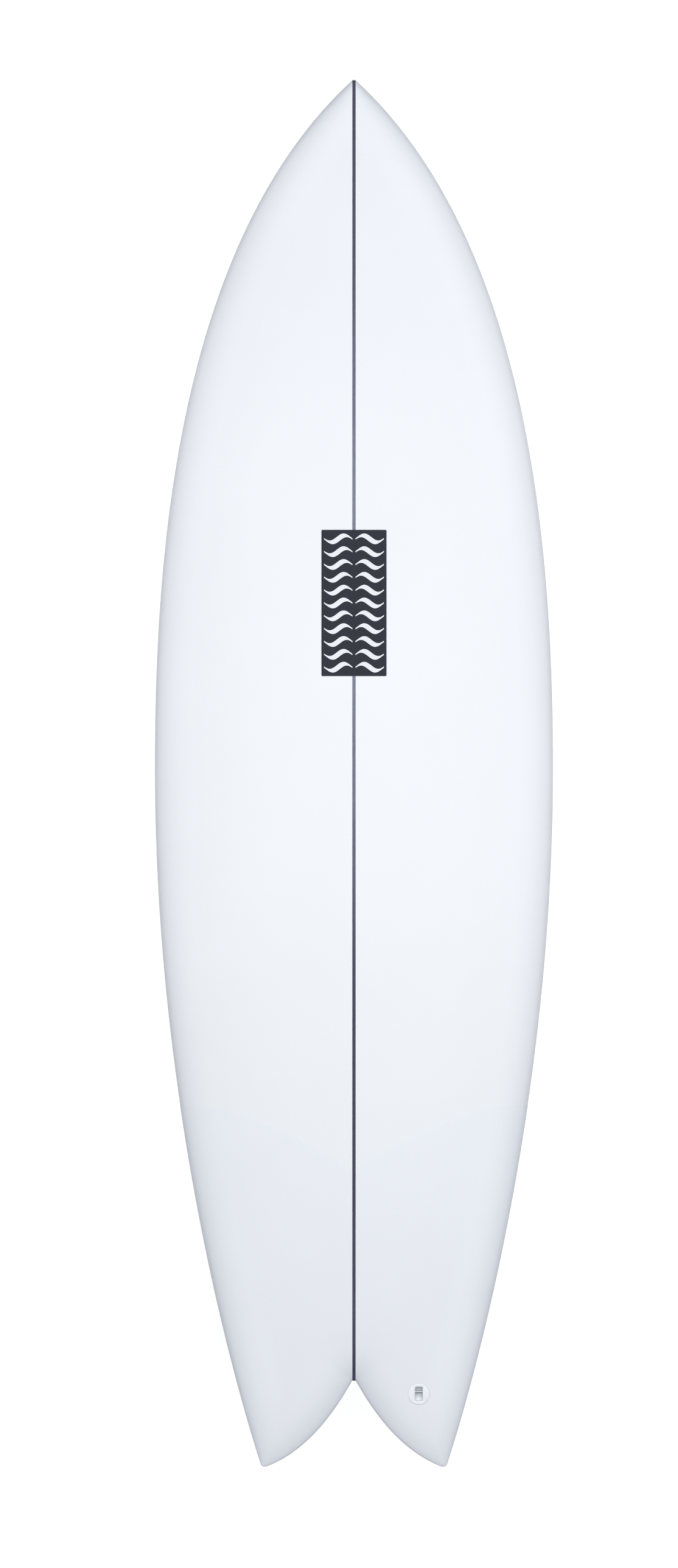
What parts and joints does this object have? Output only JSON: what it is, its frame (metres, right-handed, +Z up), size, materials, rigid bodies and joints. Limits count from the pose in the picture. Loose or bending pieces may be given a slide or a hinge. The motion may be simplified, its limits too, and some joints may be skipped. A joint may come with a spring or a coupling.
{
  "type": "surfboard",
  "caption": "Swallow-tail shortboard lying deck up on its fins: foam halves either side of a wooden stringer under clear glass skins, with a leash plug and removable keel fins.",
  "frame": {"origin": "on the floor, under the centre of the board's bounding box, with the board lying deck up on its two fin tips and its belly", "axes": "+Y along the board towards the nose, +X to the right seen from above with the nose away, +Z up; the board's own deck normal leans 6.0 degrees from +Z towards the nose because the fins lift the tail"},
  "size_m": [0.5118, 1.7778, 0.1695],
  "materials": {
    "foam": "matte",
    "stringer_wood": "satin",
    "resin": "gloss",
    "patch_cloth": "gloss",
    "decal_print": "satin",
    "plug_plastic": "satin",
    "pin_steel": "satin",
    "box_plastic": "satin",
    "fin_composite": "gloss",
    "screw_steel": "satin"
  },
  "bodies": {
    "board": {"blank_left": "foam", "blank_right": "foam", "stringer": "stringer_wood", "deck_glass": "resin", "bottom_glass": "resin", "deck_patch": "patch_cloth", "logo_decal": "decal_print", "leash_cup": "plug_plastic", "leash_pin": "pin_steel", "fin_box_right": "box_plastic", "fin_box_left": "box_plastic"},
    "fin_right": {"fin_right": "fin_composite"},
    "fin_screw_aft_right": {"fin_screw_aft_right": "screw_steel"},
    "fin_screw_fore_right": {"fin_screw_fore_right": "screw_steel"},
    "fin_left": {"fin_left": "fin_composite"},
    "fin_screw_aft_left": {"fin_screw_aft_left": "screw_steel"},
    "fin_screw_fore_left": {"fin_screw_fore_left": "screw_steel"}
  },
  "joints": [
    {"name": "fin_right_slide", "type": "slide", "parent": "board", "child": "fin_right", "axis": [0.0897, -0.1745, -0.9806], "range_m": [0, 0.03]},
    {"name": "fin_screw_aft_right_turn", "type": "hinge", "parent": "board", "child": "fin_screw_aft_right", "pos_m": [0.12171, -0.6709, 0.12475], "axis": [-0.42, -0.1762, -0.8903], "continuous": true},
    {"name": "fin_screw_fore_right_turn", "type": "hinge", "parent": "board", "child": "fin_screw_fore_right", "pos_m": [0.11858, -0.58239, 0.10871], "axis": [-0.42, -0.1762, -0.8903], "continuous": true},
    {"name": "fin_left_slide", "type": "slide", "parent": "board", "child": "fin_left", "axis": [-0.0897, -0.1745, -0.9806], "range_m": [0, 0.03]},
    {"name": "fin_screw_aft_left_turn", "type": "hinge", "parent": "board", "child": "fin_screw_aft_left", "pos_m": [-0.12171, -0.6709, 0.12475], "axis": [0.42, -0.1762, -0.8903], "continuous": true},
    {"name": "fin_screw_fore_left_turn", "type": "hinge", "parent": "board", "child": "fin_screw_fore_left", "pos_m": [-0.11858, -0.58239, 0.10871], "axis": [0.42, -0.1762, -0.8903], "continuous": true}
  ]
}
